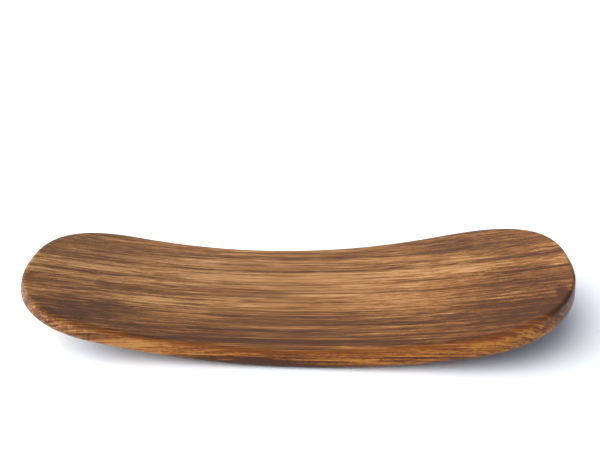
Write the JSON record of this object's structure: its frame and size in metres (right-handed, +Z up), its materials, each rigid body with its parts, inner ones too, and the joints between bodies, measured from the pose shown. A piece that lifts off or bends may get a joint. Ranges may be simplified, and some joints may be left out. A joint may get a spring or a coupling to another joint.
{
  "type": "transfer board",
  "caption": "One-piece bowed hardwood board with rounded ends that sweep up from a flat on its belly, for sliding a person or things from one place to another.",
  "frame": {"origin": "centre of the flat on the belly, in the plane the board stands on", "axes": "+X along the board towards its slightly wider end, +Y across it, +Z up out of the concave upper face"},
  "size_m": [0.6012, 0.2322, 0.0737],
  "materials": {
    "board": "satin"
  },
  "bodies": {
    "root": {"board": "board"}
  },
  "joints": []
}
